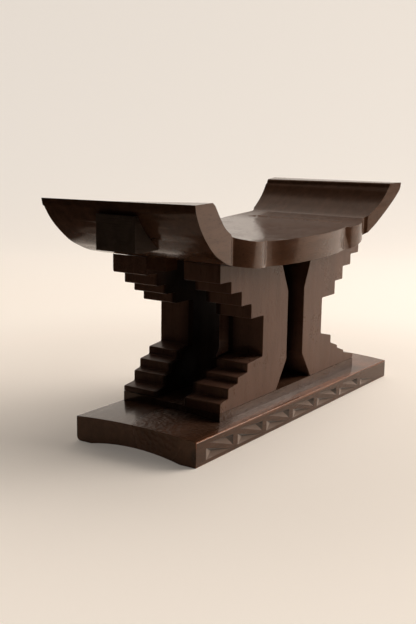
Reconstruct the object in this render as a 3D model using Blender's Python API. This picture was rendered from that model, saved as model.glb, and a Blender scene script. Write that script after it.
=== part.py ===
"""Carved wooden headrest: a curved head board on four stepped uprights over a long base board.

Frame: metres, +Z up. The origin is on the ground under the middle of the head board.
X runs along the headrest, -X is the near end, and the chip-carved long edge faces -Y.
"""

import math

import bmesh
import bpy
import numpy as np
from mathutils import Matrix, Vector

MM = 0.001

# Fits
GAP = 0.3 * MM                       # between two faces that meet
TENON_CLEARANCE = 0.3 * MM           # round a tenon in its mortise
TENON_END_CLEARANCE = 0.5 * MM       # past a tenon's end

# Base board: it sits off-centre under the head board, with a wider ledge along its carved front edge
BASE_LENGTH = 280.0 * MM
BASE_WIDTH = 95.4 * MM
BASE_NEAR_THICKNESS = 16.6 * MM      # at the long edges, near end
BASE_FAR_THICKNESS = 13.8 * MM       # the same, far end
BASE_CROWN = 2.2 * MM                # how far the top rises from its edges to its middle
BASE_HOLLOW = 3.8 * MM               # how far the underside is hollowed in the middle
BASE_FOOT_STRIP = 12.0 * MM          # flat strip left along each long edge of the underside
BASE_SHIFT_X = 6.7 * MM
FRONT_LEDGE = 10.3 * MM              # from the front uprights to the base's carved front edge

# Plinth, the low step on the base board that the uprights stand on
PLINTH_TOP_Z = 22.6 * MM

# Uprights: stepped planks in a front and a back pair, nearly alike and each a little different
UPRIGHT_THICKNESS = 28.0 * MM
FRONT_ROW_Y = -42.1 * MM             # front face of the front pair
BACK_ROW_Y = 43.0 * MM               # back face of the back pair
# Steps read from the top down, in mm. Each has its reach from the middle of the uprights. An upper step
# then has its drop, from the head board's underside to its own. A lower step has its rise, from the
# plinth's top to the middle of its tread.
FRONT_UPPER_STEPS = ((100.2, 7.6), (87.2, 15.8), (74.2, 25.7), (61.6, 36.0))
FRONT_NEAR_WAIST_REACH = 45.4 * MM
FRONT_NEAR_LOWER_STEPS = ((64.9, 27.7), (76.8, 20.5), (88.4, 15.3), (98.0, 7.4))
FRONT_NEAR_TREAD_FALL = 1.4 * MM     # how far a lower tread falls towards its edge
FRONT_FAR_WAIST_REACH = 41.0 * MM
FRONT_FAR_LOWER_STEPS = ((57.8, 27.8), (69.4, 17.8), (81.0, 11.7), (98.0, 5.8))
FRONT_FAR_TREAD_FALL = 4.0 * MM
BACK_UPPER_STEPS = ((101.6, 7.6), (89.2, 16.3), (78.6, 23.2), (67.9, 31.0))
BACK_WAIST_REACH = 46.9 * MM
BACK_LOWER_STEPS = ((61.2, 27.5), (71.8, 20.6), (78.4, 13.2), (90.0, 4.6))
BACK_TREAD_FALL = 1.4 * MM
INNER_TOP_REACH = 22.4 * MM          # inner edge, from the middle of the uprights
INNER_WAIST_REACH = 11.6 * MM
INNER_FOOT_REACH = 25.4 * MM
INNER_WAIST_DROP = 24.0 * MM         # from the head board's underside to the top of the inner waist
INNER_WAIST_RISE = 19.9 * MM         # from the plinth's top to the foot of the inner waist

# Tenons on each upright
TENON_CENTRE = 60.0 * MM             # from the middle of the uprights
TENON_WIDTH = 26.0 * MM
TENON_THICKNESS = 12.0 * MM
TOP_TENON_LENGTH = 8.0 * MM
FOOT_TENON_LENGTH = 9.0 * MM
TENON_ROOT = 3.0 * MM                # part of a tenon that runs back into its own piece

# Head board
SEAT_LENGTH = 293.6 * MM
SEAT_TIP_WIDTH = 117.6 * MM          # across the wing tips, the widest part of the wings
SEAT_HEIGHT = 161.8 * MM             # top of the wing tips
WING_RISE = 29.4 * MM                # from the flat middle to the tips
BOARD_THICKNESS = 16.8 * MM
SEAT_TOP_Z = SEAT_HEIGHT - WING_RISE
SEAT_UNDERSIDE_Z = SEAT_TOP_Z - BOARD_THICKNESS
SEAT_FLAT = 84.0 * MM                # length of the flat middle
NEAR_TIP_THICKNESS = 21.0 * MM
FAR_TIP_THICKNESS = 15.6 * MM
# How each wing rises from the flat middle to its tip: share of its run, share of its rise
NEAR_WING_UNDER = (
    (0.0, 0.0), (0.30, 0.035), (0.56, 0.134), (0.69, 0.240),
    (0.79, 0.365), (0.91, 0.615), (0.98, 0.850), (1.0, 1.0),
)
NEAR_WING_OVER = (
    (0.0, 0.0), (0.35, 0.050), (0.62, 0.190), (0.75, 0.345),
    (0.83, 0.500), (0.91, 0.750), (0.96, 0.920), (1.0, 1.0),
)
FAR_WING_UNDER = (
    (0.0, 0.0), (0.25, 0.030), (0.51, 0.150), (0.63, 0.270),
    (0.74, 0.430), (0.88, 0.665), (0.98, 0.870), (1.0, 1.0),
)
FAR_WING_OVER = (
    (0.0, 0.0), (0.35, 0.020), (0.58, 0.100), (0.70, 0.230),
    (0.85, 0.500), (0.96, 0.820), (1.0, 1.0),
)

# Scalloped long edges of the head board, measured along X from its middle
CREASE_X = 95.5 * MM
NOTCH_X = 56.6 * MM
NOTCH_HALF_WIDTH = 53.8 * MM         # from the middle line to the bottom of a notch
NEAR_CREASE_HALF_WIDTH = 53.3 * MM
FAR_CREASE_HALF_WIDTH = 50.0 * MM
HOLLOW_RUN = 6.0 * MM                # from a crease to the straight side of its wing
BIG_LOBE_BULGE = 7.2 * MM            # past the straight line between its two notches
SMALL_LOBE_BULGE = 4.4 * MM
HOLLOW_BULGE = 0.8 * MM

# Rail under each end of the head board, between the tops of a pair of uprights
RAIL_THICKNESS = 12.0 * MM
RAIL_LENGTH = 16.0 * MM              # from the back upright towards the front one
RAIL_DROP = 8.3 * MM                 # below the head board's underside at its outer face

# Lugs on the wings
LUG_WIDTH = 30.0 * MM
LUG_SHIFT_Y = -0.8 * MM
LUG_TOP_DROP = 9.2 * MM              # below the wing tips
LUG_TOP_Z = SEAT_HEIGHT - LUG_TOP_DROP
LUG_HEIGHT = 22.2 * MM
LUG_CLEARANCE = 1.5 * MM             # over the corner of the nearest uprights' top blocks
LUG_TENON_WIDTH = 16.0 * MM
LUG_TENON_HEIGHT = 9.0 * MM
LUG_TENON_DEPTH = 6.0 * MM
LUG_TENON_ROOT = 0.5 * MM            # part of a lug's tenon that runs back into the lug

# Chip-carved frieze along the base's front edge
CHIP_PAIRS = 7                       # each a lower chip, and all but the last also an upper one
CHIP_MARGIN = 11.0 * MM              # plain wood at each end
LOWER_CHIP_LENGTH = 28.5 * MM
LOWER_CHIP_FOOT = 2.6 * MM           # above the ground
LOWER_CHIP_DROP = 6.3 * MM           # from the edge's top to the chip's tall end
UPPER_CHIP_START = 3.2 * MM          # after the lower chip's tall end
UPPER_CHIP_LENGTH = 28.2 * MM
UPPER_CHIP_FOOT = 4.2 * MM           # above the ground
UPPER_CHIP_DROP = 3.3 * MM           # from the edge's top to the chip's thin end
UPPER_CHIP_TALL_DROP = 4.9 * MM      # from the edge's top to the chip's tall end
CHIP_DEPTH = 2.4 * MM
# Where a chip is deepest: the weights of its thin end, the foot and the head of its tall end
LOWER_CHIP_POINT = (0.30, 0.27, 0.43)
UPPER_CHIP_POINT = (0.18, 0.24, 0.58)

COLLECTION_NAME = "carved_headrest"
CUTTER_COLLECTION_NAME = "cutters"
TRIM_OVERRUN = 1.0 * MM              # how far the plan outline runs past the wing tips
SPLINE_STEPS = 4
SCALLOP_STEPS = 6
BASE_ARC_STEPS = 10

BASE_FRONT_Y = FRONT_ROW_Y - FRONT_LEDGE
BASE_SHIFT_Y = BASE_FRONT_Y + BASE_WIDTH / 2
TENON_ROW_Y = {-1: FRONT_ROW_Y + UPRIGHT_THICKNESS / 2, 1: BACK_ROW_Y - UPRIGHT_THICKNESS / 2}
UPPER_STEPS = {-1: FRONT_UPPER_STEPS, 1: BACK_UPPER_STEPS}
FRONT_NEAR_FOOT = (FRONT_NEAR_WAIST_REACH, FRONT_NEAR_LOWER_STEPS, FRONT_NEAR_TREAD_FALL)
FRONT_FAR_FOOT = (FRONT_FAR_WAIST_REACH, FRONT_FAR_LOWER_STEPS, FRONT_FAR_TREAD_FALL)
BACK_FOOT = (BACK_WAIST_REACH, BACK_LOWER_STEPS, BACK_TREAD_FALL)
# Waist and lower steps of each upright, by the signs of its X and Y
FEET = {(-1, -1): FRONT_NEAR_FOOT, (1, -1): FRONT_FAR_FOOT, (-1, 1): BACK_FOOT, (1, 1): BACK_FOOT}
TOP_BLOCK_REACH = max(FRONT_UPPER_STEPS[0][0], BACK_UPPER_STEPS[0][0]) * MM


def clear_scene():
    """Remove every object and the collections of an earlier run."""
    for obj in list(bpy.data.objects):
        bpy.data.objects.remove(obj, do_unlink=True)
    for collection in list(bpy.data.collections):
        bpy.data.collections.remove(collection)


def new_collection(name):
    collection = bpy.data.collections.new(name)
    bpy.context.scene.collection.children.link(collection)
    return collection


def wood(name, colour, roughness):
    """A plain wood material with one colour."""
    material = bpy.data.materials.new(name)
    material.use_nodes = True
    shader = material.node_tree.nodes["Principled BSDF"]
    shader.inputs["Base Color"].default_value = (*colour, 1.0)
    shader.inputs["Roughness"].default_value = roughness
    shader.inputs["Metallic"].default_value = 0.0
    return material


def smooth_line(points, steps=SPLINE_STEPS):
    """A Catmull-Rom curve through the points, as a list of points."""
    padded = [np.array(p, dtype=float) for p in points]
    padded = [2 * padded[0] - padded[1]] + padded + [2 * padded[-1] - padded[-2]]
    line = []
    for a, b, c, d in zip(padded, padded[1:], padded[2:], padded[3:]):
        for step in range(steps):
            t = step / steps
            bend = (2 * a - 5 * b + 4 * c - d) * t ** 2 + (3 * b - a - 3 * c + d) * t ** 3
            line.append(tuple(0.5 * (2 * b + (c - a) * t + bend)))
    line.append(tuple(padded[-2]))
    return line


def arc_line(start, end, bulge, steps):
    """A circular arc from start to end that stands bulge to the left of the straight line."""
    start = Vector(start)
    end = Vector(end)
    chord = end - start
    left = Vector((-chord.y, chord.x)).normalized()
    half = chord.length / 2
    radius = (half ** 2 + bulge ** 2) / (2 * bulge)
    centre = (start + end) / 2 + left * (bulge - radius)
    sweep = 2 * math.asin(min(1.0, half / abs(radius)))
    first = start - centre
    turn = -sweep if bulge > 0 else sweep
    return [tuple(centre + Matrix.Rotation(turn * k / steps, 2) @ first) for k in range(steps + 1)]


def height_on(line, x):
    """Height of a line of (x, z) points, running towards +X, at x."""
    for (x0, z0), (x1, z1) in zip(line, line[1:]):
        if x0 <= x <= x1:
            return z0 + (z1 - z0) * (x - x0) / (x1 - x0)
    raise ValueError("x is off the line")


def x_on(line, z):
    """X of a rising or falling line of (x, z) points at height z."""
    for (x0, z0), (x1, z1) in zip(line, line[1:]):
        if min(z0, z1) <= z <= max(z0, z1) and z0 != z1:
            return x0 + (x1 - x0) * (z - z0) / (z1 - z0)
    raise ValueError("z is off the line")


def wing_line(shape, start_x, start_z, tip_x, tip_z):
    """A wing's surface from the flat middle out to its tip."""
    shares = smooth_line(shape)
    return [(start_x + u * (tip_x - start_x), start_z + w * (tip_z - start_z)) for u, w in shares]


def seat_lines():
    """The head board's underside and top as (x, z) lines running towards +X."""
    tip = SEAT_LENGTH / 2
    flat = SEAT_FLAT / 2
    near_under = wing_line(NEAR_WING_UNDER, -flat, SEAT_UNDERSIDE_Z, -tip, SEAT_HEIGHT)
    far_under = wing_line(FAR_WING_UNDER, flat, SEAT_UNDERSIDE_Z, tip, SEAT_HEIGHT)
    near_over = wing_line(NEAR_WING_OVER, -flat, SEAT_TOP_Z, NEAR_TIP_THICKNESS - tip, SEAT_HEIGHT)
    far_over = wing_line(FAR_WING_OVER, flat, SEAT_TOP_Z, tip - FAR_TIP_THICKNESS, SEAT_HEIGHT)
    return near_under[::-1] + far_under, near_over[::-1] + far_over


def scalloped_side():
    """The head board's +Y edge in plan, from the far tip to the near one."""
    tip_x = SEAT_LENGTH / 2
    tip_y = SEAT_TIP_WIDTH / 2

    def wing_point(crease_y):
        share = HOLLOW_RUN / (tip_x - CREASE_X)
        return (CREASE_X + HOLLOW_RUN, crease_y + HOLLOW_BULGE + share * (tip_y - crease_y))

    far_x, far_y = wing_point(FAR_CREASE_HALF_WIDTH)
    near_x, near_y = wing_point(NEAR_CREASE_HALF_WIDTH)
    corners = (
        (far_x, far_y, -HOLLOW_BULGE),
        (CREASE_X, FAR_CREASE_HALF_WIDTH, SMALL_LOBE_BULGE),
        (NOTCH_X, NOTCH_HALF_WIDTH, BIG_LOBE_BULGE),
        (-NOTCH_X, NOTCH_HALF_WIDTH, SMALL_LOBE_BULGE),
        (-CREASE_X, NEAR_CREASE_HALF_WIDTH, -HOLLOW_BULGE),
        (-near_x, near_y, 0.0),
    )
    line = [(tip_x + TRIM_OVERRUN, tip_y)]
    for (x0, y0, bulge), (x1, y1, _) in zip(corners, corners[1:]):
        line += arc_line((x0, y0), (x1, y1), -bulge, SCALLOP_STEPS)[:-1]
    line.append(corners[-1][:2])
    line.append((-tip_x - TRIM_OVERRUN, tip_y))
    return line


def filled_outline(name, points, half_depth, collection, plane):
    """A closed outline, filled and thickened both ways, as a mesh object.

    plane "XZ" thickens along Y, "XY" along Z and "YZ" along X.
    """
    curve = bpy.data.curves.new(name, "CURVE")
    curve.dimensions = "2D"
    curve.fill_mode = "BOTH"
    curve.extrude = half_depth
    spline = curve.splines.new("POLY")
    spline.points.add(len(points) - 1)
    for point, (u, v) in zip(spline.points, points):
        point.co = (u, v, 0.0, 1.0)
    spline.use_cyclic_u = True
    source = bpy.data.objects.new(name + "_outline", curve)
    collection.objects.link(source)
    turns = {
        "XZ": Matrix.Rotation(math.radians(90), 4, "X"),
        "XY": Matrix.Identity(4),
        "YZ": Matrix.Rotation(math.radians(90), 4, "Z") @ Matrix.Rotation(math.radians(90), 4, "X"),
    }
    source.matrix_world = turns[plane]
    bpy.context.view_layer.update()
    evaluated = source.evaluated_get(bpy.context.evaluated_depsgraph_get())
    mesh = bpy.data.meshes.new_from_object(evaluated)
    mesh.name = name
    welded = bmesh.new()
    welded.from_mesh(mesh)
    bmesh.ops.remove_doubles(welded, verts=welded.verts, dist=0.01 * MM)
    bmesh.ops.recalc_face_normals(welded, faces=welded.faces)
    welded.to_mesh(mesh)
    welded.free()
    solid = bpy.data.objects.new(name, mesh)
    collection.objects.link(solid)
    solid.matrix_world = turns[plane]
    bpy.data.objects.remove(source, do_unlink=True)
    bpy.data.curves.remove(curve)
    return solid


def box(name, low, high, collection):
    """An axis-aligned box between two corners."""
    low = Vector(low)
    high = Vector(high)
    mesh = bpy.data.meshes.new(name)
    cube = bmesh.new()
    bmesh.ops.create_cube(cube, size=1.0)
    bmesh.ops.scale(cube, vec=high - low, verts=cube.verts)
    bmesh.ops.translate(cube, vec=(low + high) / 2, verts=cube.verts)
    cube.to_mesh(mesh)
    cube.free()
    obj = bpy.data.objects.new(name, mesh)
    collection.objects.link(obj)
    return obj


def combine(target, tool, operation):
    """Add an EXACT Boolean with the tool to the target."""
    modifier = target.modifiers.new(tool.name, "BOOLEAN")
    modifier.operation = operation
    modifier.solver = "EXACT"
    modifier.object = tool


def as_cutter(obj):
    obj.hide_render = True
    obj.display_type = "WIRE"
    return obj


def tenon_box(name, upright_sign, row_sign, low_z, high_z, clearance, collection):
    """A tenon, or with a clearance the mortise that takes it."""
    centre_x = BASE_SHIFT_X + upright_sign * TENON_CENTRE
    centre_y = TENON_ROW_Y[row_sign]
    half_x = TENON_WIDTH / 2 + clearance
    half_y = TENON_THICKNESS / 2 + clearance
    low = (centre_x - half_x, centre_y - half_y, low_z)
    high = (centre_x + half_x, centre_y + half_y, high_z)
    return box(name, low, high, collection)


def top_tenon_end_z(upright_sign):
    """Top of an upright's upper tenon, level with the head board's underside at the tenon's lower side."""
    under, _ = seat_lines()
    sides = [BASE_SHIFT_X + upright_sign * (TENON_CENTRE + k * TENON_WIDTH / 2) for k in (-1, 1)]
    return min(height_on(under, x) for x in sides) + TOP_TENON_LENGTH


def upright_outline(upright_sign, row_sign):
    """An upright's outline in X and Z, from its top edge down the stepped side and up the inner one."""
    under, _ = seat_lines()
    upper_steps = UPPER_STEPS[row_sign]
    waist_reach, lower_steps, tread_fall = FEET[(upright_sign, row_sign)]
    foot_z = PLINTH_TOP_Z + GAP

    def at(reach, z):
        return (BASE_SHIFT_X + upright_sign * reach, z)

    # Top edge, parallel to the head board's underside, from the inner edge to the outer one
    inner_x = BASE_SHIFT_X + upright_sign * INNER_TOP_REACH
    outer_x = BASE_SHIFT_X + upright_sign * upper_steps[0][0] * MM
    low_x, high_x = sorted((inner_x, outer_x))
    top = [(low_x, height_on(under, low_x))]
    top += [(x, z) for x, z in under if low_x < x < high_x]
    top.append((high_x, height_on(under, high_x)))
    top = [(x, z - GAP) for x, z in top]
    if upright_sign < 0:
        top.reverse()

    line = top
    reaches = [reach * MM for reach, _ in upper_steps[1:]] + [waist_reach]
    levels = [SEAT_UNDERSIDE_Z - drop * MM for _, drop in upper_steps]
    line.append((line[-1][0], levels[0]))
    for reach, z, next_z in zip(reaches, levels, levels[1:] + [None]):
        line.append(at(reach, z))
        if next_z is not None:
            line.append(at(reach, next_z))
    for reach, rise in lower_steps:
        tread_z = PLINTH_TOP_Z + rise * MM
        line.append((line[-1][0], tread_z + tread_fall / 2))
        line.append(at(reach * MM, tread_z - tread_fall / 2))
    line += [(line[-1][0], foot_z), at(INNER_FOOT_REACH, foot_z)]
    line.append(at(INNER_WAIST_REACH, PLINTH_TOP_Z + INNER_WAIST_RISE))
    line.append(at(INNER_WAIST_REACH, SEAT_UNDERSIDE_Z - INNER_WAIST_DROP))
    return line


def make_upright(name, upright_sign, row_sign, collection, cutters):
    """One stepped upright with a tenon at its top and its foot."""
    outline = upright_outline(upright_sign, row_sign)
    upright = filled_outline(name, outline, UPRIGHT_THICKNESS / 2, collection, "XZ")
    upright.matrix_world = Matrix.Translation((0, TENON_ROW_Y[row_sign], 0)) @ upright.matrix_world
    under, _ = seat_lines()
    sides = [BASE_SHIFT_X + upright_sign * (TENON_CENTRE + k * TENON_WIDTH / 2) for k in (-1, 1)]
    top_root = min(height_on(under, x) for x in sides) - GAP - TENON_ROOT
    parts = (
        ("top_tenon", top_root, top_tenon_end_z(upright_sign)),
        ("foot_tenon", PLINTH_TOP_Z + GAP - FOOT_TENON_LENGTH, PLINTH_TOP_Z + GAP + TENON_ROOT),
    )
    for label, low_z, high_z in parts:
        tenon = tenon_box(name + "_" + label, upright_sign, row_sign, low_z, high_z, 0.0, cutters)
        combine(upright, as_cutter(tenon), "UNION")
    return upright


def make_seat(collection, cutters):
    """The curved head board, scalloped along both edges and mortised for the uprights and lugs."""
    under, over = seat_lines()
    seat = filled_outline("head_board", under + over[::-1], SEAT_TIP_WIDTH, collection, "XZ")

    plan = scalloped_side()
    plan += [(x, -y) for x, y in reversed(plan)]
    trim = filled_outline("scallop_trim", plan, SEAT_HEIGHT, cutters, "XY")
    combine(seat, as_cutter(trim), "INTERSECT")

    for upright_sign in (-1, 1):
        outer_x = BASE_SHIFT_X + upright_sign * TOP_BLOCK_REACH
        rail_z = height_on(under, outer_x) - RAIL_DROP
        rail_xs = sorted((outer_x, outer_x - upright_sign * RAIL_THICKNESS))
        inner_z = height_on(under, outer_x - upright_sign * RAIL_THICKNESS)
        back_y = BACK_ROW_Y - UPRIGHT_THICKNESS - GAP
        name = "rail_near" if upright_sign < 0 else "rail_far"
        low = (rail_xs[0], back_y - RAIL_LENGTH, rail_z)
        high = (rail_xs[1], back_y, min(inner_z, height_on(under, outer_x)) + TENON_ROOT)
        rail = box(name, low, high, cutters)
        combine(seat, as_cutter(rail), "UNION")

    for upright_sign, end in ((-1, "near"), (1, "far")):
        for row_sign, row in ((-1, "front"), (1, "back")):
            end_z = top_tenon_end_z(upright_sign)
            name = "seat_mortise_%s_%s" % (row, end)
            low_z = end_z - TOP_TENON_LENGTH - 2 * TENON_ROOT
            high_z = end_z + TENON_END_CLEARANCE
            mortise = tenon_box(name, upright_sign, row_sign, low_z, high_z, TENON_CLEARANCE, cutters)
            combine(seat, as_cutter(mortise), "DIFFERENCE")
        mortise = lug_tenon_box("lug_mortise_" + end, upright_sign, TENON_CLEARANCE, cutters)
        combine(seat, as_cutter(mortise), "DIFFERENCE")
    return seat


def wing_outer_line(end_sign):
    """The outer surface of one wing, rising towards its tip."""
    under, _ = seat_lines()
    wing = [(x, z) for x, z in under if end_sign * x >= SEAT_FLAT / 2]
    return wing if end_sign > 0 else wing[::-1]


def lug_foot_z(end_sign):
    """A lug's underside, kept above the top blocks that meet the wing below it."""
    under, _ = seat_lines()
    block_z = height_on(under, BASE_SHIFT_X + end_sign * TOP_BLOCK_REACH)
    return max(LUG_TOP_Z - LUG_HEIGHT, block_z + LUG_CLEARANCE)


def lug_tenon_box(name, end_sign, clearance, collection):
    """A lug's tenon, or with a clearance its mortise in the wing."""
    wing = wing_outer_line(end_sign)
    middle_z = (LUG_TOP_Z + lug_foot_z(end_sign)) / 2
    high_z = middle_z + LUG_TENON_HEIGHT / 2 + clearance
    low_z = middle_z - LUG_TENON_HEIGHT / 2 - clearance
    deep_x = x_on(wing, middle_z) - end_sign * LUG_TENON_DEPTH
    deep_x -= end_sign * TENON_END_CLEARANCE if clearance else 0.0
    out_x = x_on(wing, high_z) + end_sign * (TENON_ROOT if clearance else LUG_TENON_ROOT)
    half_y = LUG_TENON_WIDTH / 2 + clearance
    xs = sorted((deep_x, out_x))
    return box(name, (xs[0], -half_y, low_z), (xs[1], half_y, high_z), collection)


def make_lug(name, end_sign, collection, cutters):
    """A square-faced lug whose back is cut to the wing's curve."""
    wing = wing_outer_line(end_sign)
    face_x = end_sign * SEAT_LENGTH / 2
    foot_z = lug_foot_z(end_sign)
    back = [(x_on(wing, foot_z), foot_z)]
    back += [(x, z) for x, z in wing if foot_z < z < LUG_TOP_Z]
    back.append((x_on(wing, LUG_TOP_Z), LUG_TOP_Z))
    back = [(x + end_sign * 2 * GAP, z) for x, z in back]
    outline = back + [(face_x, LUG_TOP_Z), (face_x, foot_z)]
    lug = filled_outline(name, outline, LUG_WIDTH / 2, collection, "XZ")
    lug.matrix_world = Matrix.Translation((0, LUG_SHIFT_Y, 0)) @ lug.matrix_world
    combine(lug, as_cutter(lug_tenon_box(name + "_tenon", end_sign, 0.0, cutters)), "UNION")
    return lug


def base_thickness_at(x):
    """Thickness of the base's long edges, which falls evenly from the near end to the far one."""
    share = (x - BASE_SHIFT_X) / BASE_LENGTH + 0.5
    return BASE_NEAR_THICKNESS + share * (BASE_FAR_THICKNESS - BASE_NEAR_THICKNESS)


def base_section():
    """The base board's outline across its length, in Y and Z."""
    half = BASE_WIDTH / 2
    foot = half - BASE_FOOT_STRIP
    hollow = arc_line((-foot, 0.0), (foot, 0.0), BASE_HOLLOW, BASE_ARC_STEPS)
    crown = arc_line((half, BASE_NEAR_THICKNESS), (-half, BASE_NEAR_THICKNESS), -BASE_CROWN, BASE_ARC_STEPS)
    return [(-half, 0.0)] + hollow + [(half, 0.0)] + crown


def chip_triangles():
    """The frieze's chips as triangles in X and Z on the front edge, each with its deepest point.

    A zigzag rib is left between them. It falls slowly above each lower chip and rises steeply to the next.
    """
    pitch = (BASE_LENGTH - 2 * CHIP_MARGIN) / CHIP_PAIRS
    start = BASE_SHIFT_X - BASE_LENGTH / 2 + CHIP_MARGIN
    for index in range(CHIP_PAIRS):
        left = start + index * pitch
        right = left + LOWER_CHIP_LENGTH
        corners = (
            (right, LOWER_CHIP_FOOT),
            (left, LOWER_CHIP_FOOT),
            (left, base_thickness_at(left) - LOWER_CHIP_DROP),
        )
        yield corners, LOWER_CHIP_POINT
        if index + 1 < CHIP_PAIRS:
            left += UPPER_CHIP_START
            right = left + UPPER_CHIP_LENGTH
            corners = (
                (left, base_thickness_at(left) - UPPER_CHIP_DROP),
                (right, UPPER_CHIP_FOOT),
                (right, base_thickness_at(right) - UPPER_CHIP_TALL_DROP),
            )
            yield corners, UPPER_CHIP_POINT


def make_chip_cutter(collection):
    """All the chips as three-sided pyramids whose points lie inside the base's front edge."""
    mesh = bpy.data.meshes.new("chip_cutter")
    chips = bmesh.new()
    mouth = CHIP_DEPTH / 4
    for corners, weights in chip_triangles():
        point_x = sum(x * weight for (x, _), weight in zip(corners, weights))
        point_z = sum(z * weight for (_, z), weight in zip(corners, weights))
        point = Vector((point_x, BASE_FRONT_Y + CHIP_DEPTH, point_z))
        grow = 1 + mouth / CHIP_DEPTH
        ring = []
        for x, z in corners:
            corner = Vector((x, BASE_FRONT_Y, z))
            ring.append(chips.verts.new(point + (corner - point) * grow))
        tip = chips.verts.new(point)
        chips.faces.new(ring)
        for first, second in zip(ring, ring[1:] + ring[:1]):
            chips.faces.new((first, second, tip))
    bmesh.ops.recalc_face_normals(chips, faces=chips.faces)
    chips.to_mesh(mesh)
    chips.free()
    obj = bpy.data.objects.new("chip_cutter", mesh)
    collection.objects.link(obj)
    return obj


def make_base(collection, cutters):
    """The base board with its plinth, mortises and chip-carved front edge."""
    base = filled_outline("base_board", base_section(), BASE_LENGTH / 2, collection, "YZ")
    base.matrix_world = Matrix.Translation((BASE_SHIFT_X, BASE_SHIFT_Y, 0)) @ base.matrix_world

    far_end_x = BASE_SHIFT_X + BASE_LENGTH / 2
    for vertex in base.data.vertices:
        place = base.matrix_world @ vertex.co
        if place.x > far_end_x - GAP and place.z > (BASE_HOLLOW + BASE_NEAR_THICKNESS) / 2:
            place.z += BASE_FAR_THICKNESS - BASE_NEAR_THICKNESS
            vertex.co = base.matrix_world.inverted() @ place

    rows = ((-1, FRONT_ROW_Y), (1, BACK_ROW_Y))
    plan = []
    for row_sign, y in rows:
        for upright_sign in (row_sign, -row_sign):
            _, lower_steps, _ = FEET[(upright_sign, row_sign)]
            plan.append((BASE_SHIFT_X + upright_sign * lower_steps[-1][0] * MM, y))
    plinth_low = BASE_FAR_THICKNESS - TENON_ROOT
    half_height = (PLINTH_TOP_Z - plinth_low) / 2
    plinth = filled_outline("plinth", plan, half_height, cutters, "XY")
    plinth.matrix_world = Matrix.Translation((0, 0, PLINTH_TOP_Z - half_height)) @ plinth.matrix_world
    combine(base, as_cutter(plinth), "UNION")

    low_z = PLINTH_TOP_Z + GAP - FOOT_TENON_LENGTH - TENON_END_CLEARANCE
    high_z = PLINTH_TOP_Z + TENON_ROOT
    for upright_sign, end in ((-1, "near"), (1, "far")):
        for row_sign, row_name in ((-1, "front"), (1, "back")):
            name = "base_mortise_%s_%s" % (row_name, end)
            mortise = tenon_box(name, upright_sign, row_sign, low_z, high_z, TENON_CLEARANCE, cutters)
            combine(base, as_cutter(mortise), "DIFFERENCE")
    combine(base, as_cutter(make_chip_cutter(cutters)), "DIFFERENCE")
    return base


def build():
    clear_scene()
    collection = new_collection(COLLECTION_NAME)
    cutters = new_collection(CUTTER_COLLECTION_NAME)

    board_wood = wood("head_board_wood", (0.040, 0.022, 0.014), 0.34)
    upright_wood = wood("upright_wood", (0.042, 0.024, 0.016), 0.45)
    base_wood = wood("base_board_wood", (0.036, 0.019, 0.012), 0.40)
    lug_wood = wood("lug_wood", (0.030, 0.019, 0.013), 0.60)

    seat = make_seat(collection, cutters)
    seat.data.materials.append(board_wood)
    base = make_base(collection, cutters)
    base.data.materials.append(base_wood)
    for upright_sign, end in ((-1, "near"), (1, "far")):
        for row_sign, row in ((-1, "front"), (1, "back")):
            upright = make_upright("upright_%s_%s" % (row, end), upright_sign, row_sign, collection, cutters)
            upright.data.materials.append(upright_wood)
        lug = make_lug("end_lug_" + end, upright_sign, collection, cutters)
        lug.data.materials.append(lug_wood)


build()
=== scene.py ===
# %% [markdown]
# # A carved wooden headrest
#
# The headrest is a curved board for the head, carried on four stepped uprights over a long,
# flat base. Every surface is dark wood, rubbed to a soft shine. The frame gives the measured
# pieces, and this lesson turns each of them into finished carving: edges are softened, small
# ornaments are cut, and the wood gets its colour, grain, tool marks and wear.

# %% Load the measured frame
import math

import bpy
from mathutils import Matrix, Vector


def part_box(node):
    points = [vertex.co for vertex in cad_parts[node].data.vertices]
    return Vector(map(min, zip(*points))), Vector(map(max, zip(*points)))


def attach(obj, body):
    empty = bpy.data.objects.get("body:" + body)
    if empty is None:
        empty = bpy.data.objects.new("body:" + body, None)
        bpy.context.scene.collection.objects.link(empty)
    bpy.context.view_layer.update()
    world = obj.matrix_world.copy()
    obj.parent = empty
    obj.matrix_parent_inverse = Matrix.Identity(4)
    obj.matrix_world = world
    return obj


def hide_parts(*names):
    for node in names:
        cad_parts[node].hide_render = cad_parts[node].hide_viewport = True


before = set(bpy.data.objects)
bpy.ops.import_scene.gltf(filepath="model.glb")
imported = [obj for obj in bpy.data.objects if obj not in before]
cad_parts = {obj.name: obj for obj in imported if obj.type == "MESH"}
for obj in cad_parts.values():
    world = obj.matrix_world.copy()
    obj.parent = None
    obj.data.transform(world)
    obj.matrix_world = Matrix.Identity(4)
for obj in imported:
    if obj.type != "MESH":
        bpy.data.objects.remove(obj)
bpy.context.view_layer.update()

MM = 0.001

# %% [markdown]
# ## The camera
#
# The camera stands low and to the left of the carved front edge, a little above the board, so
# the near end looms large and the far end falls away. A lens of about 58 mm gives that mild
# perspective. The direction is set with a yaw, a pitch and a slight roll, because those are the
# three numbers a person would change by hand.

# %% Place the camera
CAMERA_PLACE = Vector((-0.6147, -0.3782, 0.2101))
CAMERA_YAW = math.radians(33.507)
CAMERA_PITCH = math.radians(10.943)
CAMERA_ROLL = 0.015
CAMERA_LENS = 57.7235


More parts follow.
